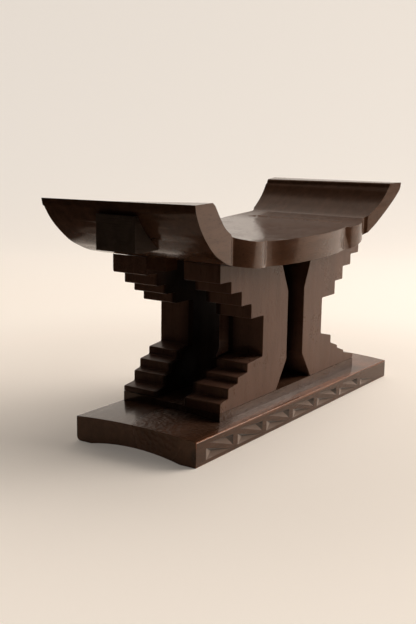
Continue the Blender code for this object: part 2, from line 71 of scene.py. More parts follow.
def aim(place, yaw, pitch, roll):
    """World matrix of a camera that looks along yaw and down by pitch, then rolls."""
    forward = Vector((math.cos(yaw) * math.cos(pitch), math.sin(yaw) * math.cos(pitch), -math.sin(pitch)))
    right = Vector((math.sin(yaw), -math.cos(yaw), 0.0))
    up = right.cross(forward)
    rolled_right = math.cos(roll) * right + math.sin(roll) * up
    rolled_up = math.cos(roll) * up - math.sin(roll) * right
    turn = Matrix((rolled_right, rolled_up, -forward)).transposed()
    return Matrix.Translation(place) @ turn.to_4x4()


camera_data = bpy.data.cameras.new("camera")
camera_data.lens = CAMERA_LENS
camera_data.sensor_width = 36.0
camera_data.clip_start = 0.01
camera = bpy.data.objects.new("camera", camera_data)
bpy.context.scene.collection.objects.link(camera)
camera.matrix_world = aim(CAMERA_PLACE, CAMERA_YAW, CAMERA_PITCH, CAMERA_ROLL)
bpy.context.scene.camera = camera
print("camera at", [round(v, 3) for v in camera.matrix_world.translation])

# %% [markdown]
# ## Small helpers for edit mode
#
# An operator acts on everything that is selected, so each step begins by selecting nothing and
# then picking vertices, edges or faces by their place. These helpers do that, and nothing else.

# %% Selecting and editing
def activate(obj):
    """Make one object the only selected one, in object mode."""
    if bpy.context.object is not None and bpy.context.object.mode != "OBJECT":
        bpy.ops.object.mode_set(mode="OBJECT")
    bpy.ops.object.select_all(action="DESELECT")
    bpy.context.view_layer.objects.active = obj
    obj.select_set(True)


def pick(obj, mode, wanted):
    """Select the vertices, edges or faces whose test passes and enter edit mode."""
    activate(obj)
    bpy.ops.object.mode_set(mode="EDIT")
    bpy.ops.mesh.select_mode(type=mode)
    bpy.ops.mesh.select_all(action="DESELECT")
    bpy.ops.object.mode_set(mode="OBJECT")
    mesh = obj.data
    items = {"VERT": mesh.vertices, "EDGE": mesh.edges, "FACE": mesh.polygons}[mode]
    chosen = [item for item in items if wanted(item)]
    for item in chosen:
        item.select = True
    bpy.ops.object.mode_set(mode="EDIT")
    return len(chosen)


def leave_edit():
    bpy.ops.object.mode_set(mode="OBJECT")


def apply_modifier(obj, kind, **settings):
    """Add a modifier, set it and apply it."""
    activate(obj)
    modifier = obj.modifiers.new(kind.lower(), kind)
    for name, value in settings.items():
        setattr(modifier, name, value)
    bpy.ops.object.modifier_apply(modifier=modifier.name)


def ends_of(obj, edge):
    return [obj.data.vertices[i].co for i in edge.vertices]


def turn_angles(obj):
    """Angle between the two faces at each edge, by edge index. Open edges are left out."""
    faces_at = {}
    for face in obj.data.polygons:
        for key in face.edge_keys:
            faces_at.setdefault(key, []).append(face.normal)
    angles = {}
    for edge in obj.data.edges:
        normals = faces_at.get(edge.key, [])
        if len(normals) == 2:
            angles[edge.index] = normals[0].angle(normals[1], 0.0)
    return angles


# %% [markdown]
# ## From a sawn blank to a carved piece
#
# A carver starts from a blank that already has its main shape. Here the blank is a copy of a
# measured piece. Its triangles are merged into clean flat faces, so that bevels run neatly
# along real edges. Keeping the measured piece as the blank means the tenons and mortises still
# fit, which a piece built from a fresh cube would have to be told again.

# %% Copy a blank and soften its edges
def blank(node, name):
    """A clean copy of a measured piece, with its flat faces joined up."""
    piece = bpy.data.objects.new(name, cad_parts[node].data.copy())
    piece.data.name = name
    piece.data.materials.clear()
    for index in (0, RUBBED):
        piece.data.materials.append(bpy.data.materials.new("blank_%d" % index))
    bpy.context.scene.collection.objects.link(piece)
    activate(piece)
    bpy.ops.object.mode_set(mode="EDIT")
    bpy.ops.mesh.select_all(action="SELECT")
    bpy.ops.mesh.remove_doubles(threshold=0.01 * MM)
    bpy.ops.mesh.dissolve_limited(angle_limit=math.radians(0.4))
    bpy.ops.mesh.normals_make_consistent(inside=False)
    leave_edit()
    return piece


RUBBED = 1                           # the material index that marks a worn bevel until the end


def soften(piece, width, sharpness, where, segments=3, rubbed=False):
    """Bevel the edges that turn by more than sharpness degrees and pass the place test."""
    angles = turn_angles(piece)
    limit = math.radians(sharpness)

    def wanted(edge):
        a, b = ends_of(piece, edge)
        return angles.get(edge.index, 0.0) > limit and where(a, b)

    count = pick(piece, "EDGE", wanted)
    if count:
        bpy.ops.mesh.bevel(
            offset=width, segments=segments, affect="EDGES",
            clamp_overlap=True, material=RUBBED if rubbed else 0,
        )
    leave_edit()
    return count


print("blanks start from", ", ".join(sorted(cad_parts)))

# %% [markdown]
# ## Where the wood is worn
#
# Hands and years rub the sharp edges first, and the dark surface there turns red-brown. The
# shader needs to know where those places are. Each worn bevel has already marked its new faces
# with a second material index, so those edges are known exactly. Their corners get the value 1
# in an attribute called wear, and all others 0. It stays with the mesh in any program.

# %% Record the wear and finish a piece
def mark_wear(piece):
    """Write 1 at the corners of bevelled faces and 0 elsewhere, then drop the marks."""
    mesh = piece.data
    layer = mesh.attributes.new("wear", "FLOAT", "CORNER")
    for face in mesh.polygons:
        for corner in face.loop_indices:
            layer.data[corner].value = 1.0 if face.material_index == RUBBED else 0.0
        face.material_index = 0


def finish_piece(piece, slot, node, smooth_angle=32):
    """Smooth shading, wear, a finish, and the piece's place in the frame."""
    activate(piece)
    bpy.ops.object.shade_smooth_by_angle(angle=math.radians(smooth_angle))
    mark_wear(piece)
    apply_modifier(piece, "WEIGHTED_NORMAL", keep_sharp=True, weight=80)
    piece.data.materials.clear()
    piece.data.materials.append(finishes[slot])
    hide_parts(node)
    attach(piece, "root")
    size = [round(v / MM, 1) for v in piece.dimensions]
    print(piece.name, "has", len(piece.data.polygons), "faces and measures", size, "mm")


# %% [markdown]
# ## Node groups for the wood
#
# The pieces share four effects: the grain, the marks that a blade leaves, the rubbed edges, and
# the uneven old polish. Each is a node group with named inputs, so one group serves every
# finish with its own values, as one set of tools serves every surface.

# %% A helper that starts a node group
def start_group(name, inputs, outputs):
    """A shader node group with float or vector sockets, and its two end nodes."""
    group = bpy.data.node_groups.new(name, "ShaderNodeTree")
    for label, kind, value in inputs:
        socket = group.interface.new_socket(label, in_out="INPUT", socket_type=kind)
        if value is not None:
            socket.default_value = value
    for label, kind in outputs:
        group.interface.new_socket(label, in_out="OUTPUT", socket_type=kind)
    start = group.nodes.new("NodeGroupInput")
    end = group.nodes.new("NodeGroupOutput")
    return group, start, end


def add_node(tree, kind, **settings):
    node = tree.nodes.new(kind)
    for name, value in settings.items():
        if name in node.inputs:
            node.inputs[name].default_value = value
        else:
            setattr(node, name, value)
    return node


def spread(tree, source, low, high):
    """Map a value's range low..high to 0..1, clamped and smooth."""
    node = add_node(tree, "ShaderNodeMapRange", interpolation_type="SMOOTHSTEP")
    node.inputs["From Min"].default_value = low
    node.inputs["From Max"].default_value = high
    tree.links.new(source, node.inputs["Value"])
    return node.outputs["Result"]


def combine_values(tree, operation, first, second):
    node = tree.nodes.new("ShaderNodeMath")
    node.operation = operation
    for socket, value in zip(node.inputs, (first, second)):
        if isinstance(value, (int, float)):
            socket.default_value = value
        else:
            tree.links.new(value, socket)
    return node.outputs[0]


def vector_value(tree, operation, vector, other=None):
    """One vector sum of a socket with a constant vector, or its length when there is no other."""
    node = tree.nodes.new("ShaderNodeVectorMath")
    node.operation = operation
    tree.links.new(vector, node.inputs[0])
    if other is not None:
        node.inputs[1].default_value = other
    return node.outputs["Value" if operation in ("LENGTH", "DOT_PRODUCT") else "Vector"]


# %% The grain group: long streaks, drawn out along the wood, and fine open pores
FLOAT = "NodeSocketFloat"
VECTOR = "NodeSocketVector"
grain_group, start, end = start_group(
    "wood_grain",
    [("Vector", VECTOR, None), ("Streak Scale", FLOAT, 90.0), ("Pore Scale", FLOAT, 900.0)],
    [("Streaks", FLOAT), ("Pores", FLOAT)],
)
streak = add_node(grain_group, "ShaderNodeTexNoise", Detail=4.0, Roughness=0.55, Distortion=0.4)
grain_group.links.new(start.outputs["Vector"], streak.inputs["Vector"])
grain_group.links.new(start.outputs["Streak Scale"], streak.inputs["Scale"])
pore = add_node(grain_group, "ShaderNodeTexNoise", Detail=2.0, Roughness=0.6)
grain_group.links.new(start.outputs["Vector"], pore.inputs["Vector"])
grain_group.links.new(start.outputs["Pore Scale"], pore.inputs["Scale"])
grain_group.links.new(spread(grain_group, streak.outputs["Fac"], 0.32, 0.68), end.inputs["Streaks"])
grain_group.links.new(spread(grain_group, pore.outputs["Fac"], 0.56, 0.72), end.inputs["Pores"])
print("made", grain_group.name)

# %% The tool mark group: shallow scoops of a blade, in patches where it was used most
mark_group, start, end = start_group(
    "tool_marks",
    [("Vector", VECTOR, None), ("Scale", FLOAT, 240.0), ("Patch Scale", FLOAT, 22.0), ("Cover", FLOAT, 0.5)],
    [("Marks", FLOAT), ("Patches", FLOAT), ("Scoops", FLOAT)],
)
scoop = add_node(mark_group, "ShaderNodeTexVoronoi", feature="SMOOTH_F1", Smoothness=0.35, Randomness=1.0)
mark_group.links.new(start.outputs["Vector"], scoop.inputs["Vector"])
mark_group.links.new(start.outputs["Scale"], scoop.inputs["Scale"])
patch = add_node(mark_group, "ShaderNodeTexNoise", Detail=2.0, Roughness=0.5)
mark_group.links.new(start.outputs["Vector"], patch.inputs["Vector"])
mark_group.links.new(start.outputs["Patch Scale"], patch.inputs["Scale"])
threshold = combine_values(mark_group, "SUBTRACT", 1.0, start.outputs["Cover"])
above = combine_values(mark_group, "SUBTRACT", patch.outputs["Fac"], threshold)
patches = spread(mark_group, above, -0.08, 0.12)
marks = combine_values(mark_group, "MULTIPLY", scoop.outputs["Distance"], patches)
mark_group.links.new(marks, end.inputs["Marks"])
mark_group.links.new(patches, end.inputs["Patches"])
mark_group.links.new(scoop.outputs["Distance"], end.inputs["Scoops"])
print("made", mark_group.name)

# %% The rubbed edge group: the wear attribute, broken up so that it never looks drawn
rub_group, start, end = start_group(
    "rubbed_edges",
    [("Vector", VECTOR, None), ("Wear", FLOAT, 0.0), ("Scale", FLOAT, 120.0), ("Amount", FLOAT, 0.7)],
    [("Rubbed", FLOAT)],
)
breakup = add_node(rub_group, "ShaderNodeTexNoise", Detail=5.0, Roughness=0.65)
rub_group.links.new(start.outputs["Vector"], breakup.inputs["Vector"])
rub_group.links.new(start.outputs["Scale"], breakup.inputs["Scale"])
broken = spread(rub_group, breakup.outputs["Fac"], 0.30, 0.62)
rubbed = combine_values(rub_group, "MULTIPLY", start.outputs["Wear"], broken)
rubbed = combine_values(rub_group, "MULTIPLY", rubbed, start.outputs["Amount"])
rub_group.links.new(rubbed, end.inputs["Rubbed"])
print("made", rub_group.name)

# %% The polish group: cloudy patches where the old polish is thicker or thinner
polish_group, start, end = start_group(
    "old_polish",
    [("Vector", VECTOR, None), ("Cloud Scale", FLOAT, 28.0), ("Speck Scale", FLOAT, 700.0)],
    [("Clouds", FLOAT), ("Specks", FLOAT)],
)
cloud = add_node(polish_group, "ShaderNodeTexNoise", Detail=6.0, Roughness=0.6)
polish_group.links.new(start.outputs["Vector"], cloud.inputs["Vector"])
polish_group.links.new(start.outputs["Cloud Scale"], cloud.inputs["Scale"])
speck = add_node(polish_group, "ShaderNodeTexNoise", Detail=3.0, Roughness=0.7)
polish_group.links.new(start.outputs["Vector"], speck.inputs["Vector"])
polish_group.links.new(start.outputs["Speck Scale"], speck.inputs["Scale"])
polish_group.links.new(spread(polish_group, cloud.outputs["Fac"], 0.30, 0.70), end.inputs["Clouds"])
polish_group.links.new(spread(polish_group, speck.outputs["Fac"], 0.40, 0.66), end.inputs["Specks"])
print("made", polish_group.name)

# %% [markdown]
# ## Four finishes from the same groups
#
# All the wood is one kind, but it was handled differently. The head board and the base are the
# most polished, the uprights keep more saw and chisel marks, and the lugs were left dull. One
# function builds a finish, and the four differ only in the numbers they pass to it. The grain
# runs along X in the boards and along Z in the uprights, so a Mapping node squeezes the pattern
# the other way.

# %% Masks by place
MASK_START = 0.75                    # a mask is full up to this share of its half size
MASK_END = 1.15                      # and gone at this one


def place_mask(tree, place, places):
    """1 inside any of the (centre, half size) rounded boxes, 0 well outside them."""
    mask = 0.0
    for centre, half in places:
        shifted = vector_value(tree, "SUBTRACT", place, centre)
        squeezed = vector_value(tree, "DIVIDE", shifted, half)
        inside = spread(tree, vector_value(tree, "LENGTH", squeezed), MASK_END, MASK_START)
        mask = combine_values(tree, "MAXIMUM", mask, inside)
    return mask


# %% [markdown]
# A finish is built up as the real one grew. First comes the colour: dark wood, warm streaks, fine pores, worn
# edges, and painted shade between the uprights, where the wood stands in their shadow. In the carved front
# edge the facets that face up or towards the far end get a painted highlight, and those that face down or back
# get painted shade. Then comes the roughness, and last the relief, which is bump only, because scoops, saw
# lines and pores are a fraction of a millimetre deep.

# %% Build a finish
STREAK_SCALE = 150.0
PORE_SCALE = 1500.0
SCOOP_SCALE = 330.0
PATCH_SCALE = 24.0
RUB_SCALE = 130.0
CLOUD_SCALE = 26.0
SPECK_SCALE = 800.0
SAW_SCALE = 1100.0
GRAIN_STRETCH = {"X": (0.10, 1.0, 1.0), "Z": (1.0, 1.0, 0.12)}
SAW_STRETCH = (0.2, 0.08, 1.0)
PORE_DEPTH = 0.00003
STREAK_DEPTH = 0.00003
ROUGH_DEPTH = 0.0006                 # of the scoops that were never rubbed out
ROUGH_DULLNESS = 0.25
# Painted shade where the uprights stand close together and on chip facets that face down or back: a near black
# colour is mixed in and the shine is lowered.
PAINTED_SHADE_SHINE_LOSS = 0.46
PAINTED_SHADE_STRENGTH = 0.85
POLISH_TINT = (1.0, 0.66, 0.46)
# Painted highlight on chip facets that face up or towards the far end.
PAINTED_FACET_HIGHLIGHT = (0.26, 0.20, 0.165)
# The near black of the painted shade.
PAINTED_SHADE_COLOUR = (0.006, 0.004, 0.003)


def blend_colour(tree, factor, first, second, strength=1.0):
    """Mix two colours, each a socket or a constant, by a mask."""
    mix = add_node(tree, "ShaderNodeMix", data_type="RGBA")
    tree.links.new(combine_values(tree, "MULTIPLY", factor, strength), mix.inputs["Factor"])
    for socket, colour in (("A", first), ("B", second)):
        target = next(s for s in mix.inputs if s.name == socket and s.type == "RGBA")
        if isinstance(colour, tuple):
            target.default_value = (*colour, 1.0)
        else:
            tree.links.new(colour, target)
    return next(s for s in mix.outputs if s.type == "RGBA")


def place_group(tree, group, vector, **values):
    """One of the shared groups, with its vector linked and its other inputs set by name."""
    node = add_node(tree, "ShaderNodeGroup", node_tree=group)
    tree.links.new(vector, node.inputs["Vector"])
    for label, value in values.items():
        node.inputs[label.replace("_", " ")].default_value = value
    return node


def painted_facet_masks(tree, place, places):
    """Masks of the facets in a carved edge that get a painted highlight and of those that get painted shade,
    by the way they face.
    """
    carved = place_mask(tree, place, places)
    facing = tree.nodes.new("ShaderNodeSeparateXYZ")
    tree.links.new(tree.nodes.new("ShaderNodeNewGeometry").outputs["True Normal"], facing.inputs[0])
    upward = combine_values(tree, "MULTIPLY", spread(tree, facing.outputs["Z"], 0.25, 0.50), 0.35)
    outward = spread(tree, facing.outputs["X"], 0.12, 0.25)
    downward = spread(tree, facing.outputs["Z"], -0.12, -0.30)
    backward = spread(tree, facing.outputs["X"], -0.12, -0.25)
    pale = combine_values(tree, "MAXIMUM", upward, outward)
    shade_mask = combine_values(tree, "MAXIMUM", downward, backward)
    return combine_values(tree, "MULTIPLY", carved, pale), combine_values(tree, "MULTIPLY", carved, shade_mask)


def make_finish(
    name, dark, warm, worn, grain_along, rough, marks, marks_depth, saw_depth, amount, ior,
    rough_places=(), worn_places=(), shaded_places=(), facet_shading_places=(),
):
    """A dark wood finish. Colours are dark wood, its warm streaks and the worn edges.

    rough_places are where the tool marks were never rubbed out, worn_places where the colour has gone,
    shaded_places where painted shade darkens the wood between the uprights, and facet_shading_places where
    chips were cut, with a painted highlight on facets that face up or towards the far end and painted shade on
    those that face down or back. All are (centre, half size) boxes in metres.
    """
    material = bpy.data.materials.new(name)
    material.use_nodes = True
    tree = material.node_tree
    shader = tree.nodes["Principled BSDF"]
    place = tree.nodes.new("ShaderNodeTexCoord").outputs["Object"]

    stretch = add_node(tree, "ShaderNodeMapping", Scale=GRAIN_STRETCH[grain_along])
    tree.links.new(place, stretch.inputs["Vector"])

    grain = place_group(
        tree, grain_group, stretch.outputs["Vector"], Streak_Scale=STREAK_SCALE, Pore_Scale=PORE_SCALE,
    )
    tools = place_group(tree, mark_group, place, Scale=SCOOP_SCALE, Patch_Scale=PATCH_SCALE, Cover=marks)
    rub = place_group(tree, rub_group, place, Scale=RUB_SCALE, Amount=amount)
    wear = add_node(tree, "ShaderNodeAttribute", attribute_name="wear")
    tree.links.new(wear.outputs["Fac"], rub.inputs["Wear"])
    polish = place_group(tree, polish_group, place, Cloud_Scale=CLOUD_SCALE, Speck_Scale=SPECK_SCALE)
    rough_mask = place_mask(tree, place, rough_places)
    # Mask of the painted shade between the uprights.
    shade_mask = place_mask(tree, place, shaded_places)

    def scaled(value, factor):
        return combine_values(tree, "MULTIPLY", value, factor)

    def add(first, second):
        return combine_values(tree, "ADD", first, second)

    colour = blend_colour(tree, grain.outputs["Streaks"], dark, warm)
    colour = blend_colour(tree, polish.outputs["Clouds"], colour, warm, 0.35)
    colour = blend_colour(tree, grain.outputs["Pores"], colour, tuple(v * 0.35 for v in dark), 0.6)
    colour = blend_colour(tree, rub.outputs["Rubbed"], colour, worn)
    if worn_places:
        patchy = add(scaled(polish.outputs["Clouds"], 0.3), 0.12)
        colour = blend_colour(tree, scaled(place_mask(tree, place, worn_places), patchy), colour, worn)
    # Painted shade: near black mixed into the colour between the uprights, where their shadow falls.
    if shaded_places:
        colour = blend_colour(tree, shade_mask, colour, PAINTED_SHADE_COLOUR, PAINTED_SHADE_STRENGTH)
    # Painted highlight and painted shade on the chip facets, chosen by the way each faces.
    if facet_shading_places:
        highlit_facets, shaded_facets = painted_facet_masks(tree, place, facet_shading_places)
        colour = blend_colour(tree, highlit_facets, colour, PAINTED_FACET_HIGHLIGHT, 0.85)
        colour = blend_colour(tree, shaded_facets, colour, PAINTED_SHADE_COLOUR, PAINTED_SHADE_STRENGTH)
    tree.links.new(colour, shader.inputs["Base Color"])

    roughness = add(scaled(polish.outputs["Clouds"], 0.06), scaled(tools.outputs["Patches"], 0.05))
    roughness = add(roughness, scaled(polish.outputs["Specks"], 0.02))
    if rough_places:
        roughness = add(roughness, scaled(rough_mask, ROUGH_DULLNESS))
    # The painted shade also lowers the shine between the uprights.
    if shaded_places:
        shine = combine_values(tree, "SUBTRACT", 0.5, scaled(shade_mask, PAINTED_SHADE_SHINE_LOSS))
        tree.links.new(shine, shader.inputs["Specular IOR Level"])
    tree.links.new(add(roughness, rough), shader.inputs["Roughness"])
    shader.inputs["IOR"].default_value = ior
    shader.inputs["Specular Tint"].default_value = (*POLISH_TINT, 1.0)

    height = scaled(tools.outputs["Marks"], marks_depth)
    if rough_places:
        height = add(height, scaled(scaled(tools.outputs["Scoops"], ROUGH_DEPTH), rough_mask))
    height = add(height, scaled(grain.outputs["Pores"], -PORE_DEPTH))
    height = add(height, scaled(grain.outputs["Streaks"], STREAK_DEPTH))
    if saw_depth:
        lines = add_node(tree, "ShaderNodeMapping", Scale=SAW_STRETCH)
        tree.links.new(place, lines.inputs["Vector"])
        saw = add_node(tree, "ShaderNodeTexNoise", Scale=SAW_SCALE, Detail=3.0, Roughness=0.6)
        tree.links.new(lines.outputs["Vector"], saw.inputs["Vector"])
        height = add(height, scaled(saw.outputs["Fac"], saw_depth))
    bump = add_node(tree, "ShaderNodeBump", Strength=1.0, Distance=1.0)
    tree.links.new(height, bump.inputs["Height"])
    tree.links.new(bump.outputs["Normal"], shader.inputs["Normal"])
    return material


# %% Where each finish differs
base_low, base_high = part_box("base_board")
MIDDLE_X = 0.0067                    # half way between the near and the far uprights
MIDDLE_Z = 0.064
NEAR_CORNER = ((base_low.x + 0.030, base_low.y + 0.030, 0.018), (0.046, 0.026, 0.030))
FAR_CORNER = ((base_high.x - 0.010, base_low.y + 0.020, 0.0150), (0.030, 0.034, 0.0030))
FRONT_RIM = ((0.020, base_low.y + 0.0010, 0.0165), (0.150, 0.0052, 0.0030))
FRONT_EDGE = ((MIDDLE_X, base_low.y, 0.0072), (0.200, 0.0060, 0.0075))
BETWEEN_ROWS = ((MIDDLE_X, 0.0004, MIDDLE_Z), (0.105, 0.024, 0.062))
IN_THE_GAP = ((MIDDLE_X, -0.018, 0.068), (0.040, 0.020, 0.064))
INNER_FACE_SIZE = (0.120, 0.005, 0.075)
FRONT_ROW_INSIDE = ((MIDDLE_X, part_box("upright_front_near")[1].y, MIDDLE_Z), INNER_FACE_SIZE)
BACK_ROW_INSIDE = ((MIDDLE_X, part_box("upright_back_near")[0].y, MIDDLE_Z), INNER_FACE_SIZE)
# The boxes that get painted shade: the wood between and inside the two rows of uprights.
SHADED_BETWEEN_UPRIGHTS = (BETWEEN_ROWS, IN_THE_GAP, FRONT_ROW_INSIDE, BACK_ROW_INSIDE)
print("the middle of the stand is at x", round(MIDDLE_X / MM, 1), "mm")

# %% The four finishes
finishes = {
    "head_board_wood": make_finish(
        "head_board_wood", dark=(0.062, 0.027, 0.014), warm=(0.092, 0.041, 0.022), worn=(0.26, 0.100, 0.048),
        grain_along="X", rough=0.08, marks=0.36, marks_depth=0.00004, saw_depth=0.0, amount=0.75, ior=1.31,
    ),
    "upright_wood": make_finish(
        "upright_wood", dark=(0.086, 0.042, 0.027), warm=(0.116, 0.058, 0.038), worn=(0.18, 0.080, 0.044),
        grain_along="Z", rough=0.26, marks=0.42, marks_depth=0.00008, saw_depth=0.00008, amount=0.20, ior=1.33,
        shaded_places=SHADED_BETWEEN_UPRIGHTS,
    ),
    "base_board_wood": make_finish(
        "base_board_wood", dark=(0.042, 0.019, 0.010), warm=(0.066, 0.030, 0.017), worn=(0.34, 0.120, 0.055),
        grain_along="X", rough=0.12, marks=0.42, marks_depth=0.00006, saw_depth=0.0, amount=0.50, ior=1.39,
        rough_places=(NEAR_CORNER,), worn_places=(FRONT_RIM, FAR_CORNER), shaded_places=SHADED_BETWEEN_UPRIGHTS,
        facet_shading_places=(FRONT_EDGE,),
    ),
    "lug_wood": make_finish(
        "lug_wood", dark=(0.066, 0.044, 0.031), warm=(0.094, 0.064, 0.047), worn=(0.16, 0.080, 0.046),
        grain_along="X", rough=0.40, marks=0.40, marks_depth=0.00020, saw_depth=0.00028, amount=0.6, ior=1.35,
    ),
}
print("finishes:", ", ".join(finishes))

# %% [markdown]
# ## The head board
#
# The board is flat in the middle and sweeps up into a wing at each end. Its long edges are
# scalloped: a big lobe in the middle, a small lobe at each side, and a sharp notch between
# them. The blank already has those shapes. What is left is handwork. The top of each wing falls
# a little towards the back, edges are eased, and a band of small chips crosses the board where
# the flat meets each wing. Bevel clamps its width to the shortest edge beside it, so the ease
# on this board stays far narrower than its named widths.

# %% Ease the head board's tips and edges
board = blank("head_board", "head_board_carved")
board_top_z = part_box("head_board")[1].z
TIP_FALL = {-1: 2.1 * MM, 1: 1.0 * MM}      # of a wing's back corner, at its outer edge
INNER_FALL = {-1: 2.8 * MM, 1: 0.8 * MM}    # and how much more at its inner edge
TIP_ROUNDING = 1.8 * MM
EDGE_EASE = 0.5 * MM
LOBE_EASE = 0.7 * MM


def lower_tip(end_sign, is_inner, fall, label):
    """Lower the back corner vertices on top of one wing, on its outer or its inner edge."""
    inner_edge_x = max(abs(v.co.x) for v in board.data.vertices) - 8 * MM

    def wanted(v):
        on_top = v.co.z > board_top_z - 5 * MM and v.co.x * end_sign > 0.1 and v.co.y > 0.05
        return on_top and (abs(v.co.x) < inner_edge_x) == is_inner

    count = pick(board, "VERT", wanted)
    bpy.ops.transform.translate(value=(0, 0, -fall))
    leave_edit()
    print("lowered", count, label, "corner vertices at end", end_sign)


for end_sign in (-1, 1):
    lower_tip(end_sign, False, TIP_FALL[end_sign], "outer")
    lower_tip(end_sign, True, TIP_FALL[end_sign] + INNER_FALL[end_sign], "inner")

soften(
    board, TIP_ROUNDING, 30,
    lambda a, b: min(a.z, b.z) > board_top_z - 8 * MM and abs(a.x - b.x) < 2 * MM
    and abs(a.y - b.y) > 50 * MM and abs(a.x) < 135 * MM,
    segments=4,
)


def on_lobe_top(a, b):
    """The upper arris of the scalloped edges, which hands rub most."""
    middle = (a + b) / 2
    on_lobe = abs(middle.y) > 49 * MM and abs(middle.x) < 98 * MM
    return on_lobe and middle.z > 128 * MM and abs(a.z - b.z) < 3 * MM


def on_outside_of_board(a, b):
    """The rest of the outline. The mortises and the rails' ends are left as they were sawn."""
    middle = (a + b) / 2
    inside = abs(middle.y) < 46 * MM and abs(middle.x) < 140 * MM
    return not inside or middle.z > 158 * MM


print("rubbed", soften(board, LOBE_EASE, 40, on_lobe_top, rubbed=True), "edges on top of the lobes")
print("eased", soften(board, EDGE_EASE, 36, on_outside_of_board), "other edges")

# %% [markdown]
# ## The zigzag band
#
# A narrow band of small chips crosses the board at each end, just where the flat turns up into
# the wing: two rows of triangular pits that point to and fro and leave a zigzag rib between
# them. A knife leaves a pit with three flat sides, so each cutter is a three-sided cone. It is
# placed on the surface by asking the measured board for its height there.

# %% Cut the two bands
def cutter_at(corners, apex, outward):
    """A three-sided cone from a point inside the wood through three corners on its surface."""
    bpy.ops.object.select_all(action="DESELECT")
    bpy.ops.mesh.primitive_cone_add(vertices=3, radius1=1.0, radius2=0.0, depth=1.0)
    cutter = bpy.context.object
    depth = (corners[0] - apex).dot(outward)
    ring = [v for v in cutter.data.vertices if v.co.z < 0]
    for vertex, corner in zip(ring, corners):
        vertex.co = apex + (corner - apex) * (1 + MOUTH / depth)
    for vertex in cutter.data.vertices:
        if vertex not in ring:
            vertex.co = apex
    bpy.ops.object.mode_set(mode="EDIT")
    bpy.ops.mesh.select_all(action="SELECT")
    bpy.ops.mesh.normals_make_consistent(inside=False)
    leave_edit()
    return cutter


def cut_together(piece, cutters):
    """Join the cutters into one and take them away from the piece."""
    activate(cutters[0])
    for cutter in cutters:
        cutter.select_set(True)
    bpy.ops.object.join()
    gang = bpy.context.object
    apply_modifier(piece, "BOOLEAN", operation="DIFFERENCE", solver="EXACT", object=gang)
    bpy.data.objects.remove(gang)


MOUTH = 1.0 * MM                     # how far a cutter stands out of the wood
BAND_X = {-1: -80.0 * MM, 1: 80.0 * MM}
BAND_WIDTH = 8.0 * MM
BAND_HALF_LENGTH = 44.0 * MM
BAND_PITCH = 5.5 * MM
BAND_DEPTH = 2.4 * MM
BAND_RIB = 0.35 * MM
node_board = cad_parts["head_board"]


def on_board(x, y):
    """The point of the measured board's top under x and y."""
    _, place, _, _ = node_board.ray_cast(Vector((x, y, 0.3)), Vector((0, 0, -1)))
    return place


for end_sign, band_x in BAND_X.items():
    for row in (0, 1):
        cutters = []
        y = -BAND_HALF_LENGTH + row * BAND_PITCH
        while y + 2 * BAND_PITCH <= BAND_HALF_LENGTH:
            tip_x, foot_x = (band_x + BAND_WIDTH / 2, band_x - BAND_WIDTH / 2)
            if row:
                tip_x, foot_x = foot_x, tip_x
            corners = [
                on_board(foot_x, y + BAND_RIB),
                on_board(foot_x, y + 2 * BAND_PITCH - BAND_RIB),
                on_board(tip_x, y + BAND_PITCH),
            ]
            apex = sum(corners, Vector()) / 3 - Vector((0, 0, BAND_DEPTH))
            cutters.append(cutter_at(corners, apex, Vector((0, 0, 1))))
            y += 2 * BAND_PITCH
        cut_together(board, cutters)
        print("cut", len(cutters), "chips in row", row, "of the band at end", end_sign)
finish_piece(board, "head_board_wood", "head_board", smooth_angle=24)

# %% [markdown]
# ## The uprights
#
# Each upright is a thick plank with a waist. Above the waist it grows out in four inverted
# steps to meet the head board, and below it in four treads down to the base. The treads are cut
# by hand, so their edges are rubbed rounder than the flat front and back faces. A wider bevel on
# the edges that run across the plank, and a finer one on its outline, gives that difference.

# %% Ease the four uprights
TREAD_EASE = 0.9 * MM
OUTLINE_EASE = 0.45 * MM


def carve_upright(node):
    """Ease the steps and the outline, but not the tenons or the ends inside the boards."""
    piece = blank(node, node + "_carved")
    low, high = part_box(node)

    def on_skin(end):
        return min(abs(end.y - low.y), abs(end.y - high.y)) < 0.2 * MM

    def visible(a, b):
        clear_of_boards = 24 * MM < (a.z + b.z) / 2 < 113 * MM
        return on_skin(a) and on_skin(b) and clear_of_boards

    def across(a, b):
        return visible(a, b) and abs(a.y - b.y) > 20 * MM

    count = soften(piece, TREAD_EASE, 30, lambda a, b: across(a, b) and a.z < 60 * MM, rubbed=True)
    count += soften(piece, TREAD_EASE, 30, lambda a, b: across(a, b) and a.z >= 60 * MM)
    count += soften(
        piece, OUTLINE_EASE, 60,
        lambda a, b: visible(a, b) and abs(a.y - b.y) < 0.1 * MM, segments=2,
    )
    finish_piece(piece, "upright_wood", node)
    return count


for node in ("upright_front_near", "upright_front_far", "upright_back_near", "upright_back_far"):
    print("eased", carve_upright(node), "edges of", node)

# %% [markdown]
# ## The lugs
#
# A square lug stands on the outside of each wing. Its face was sawn and never polished, so it
# looks duller than the wing behind it. Its edges are only lightly eased.

# %% Ease the lugs
LUG_EASE = 0.5 * MM
for node in ("end_lug_near", "end_lug_far"):
    lug = blank(node, node + "_carved")
    count = soften(lug, LUG_EASE, 40, lambda a, b: min(abs(a.y), abs(b.y)) > 13 * MM)
    finish_piece(lug, "lug_wood", node)
    print("eased", count, "edges of", node)

# %% [markdown]
# ## The base board
#
# The base is a long board with a low plinth for the uprights. Its front edge is chip-carved.
# Its back lower edge is rounded where it has been dragged about, and its front edges are rubbed
# until they show red.

# %% Ease the base board
base = blank("base_board", "base_board_carved")
BASE_EASE = 0.7 * MM
BACK_FOOT_ROUNDING = 3.2 * MM
PLINTH_EASE = 0.5 * MM


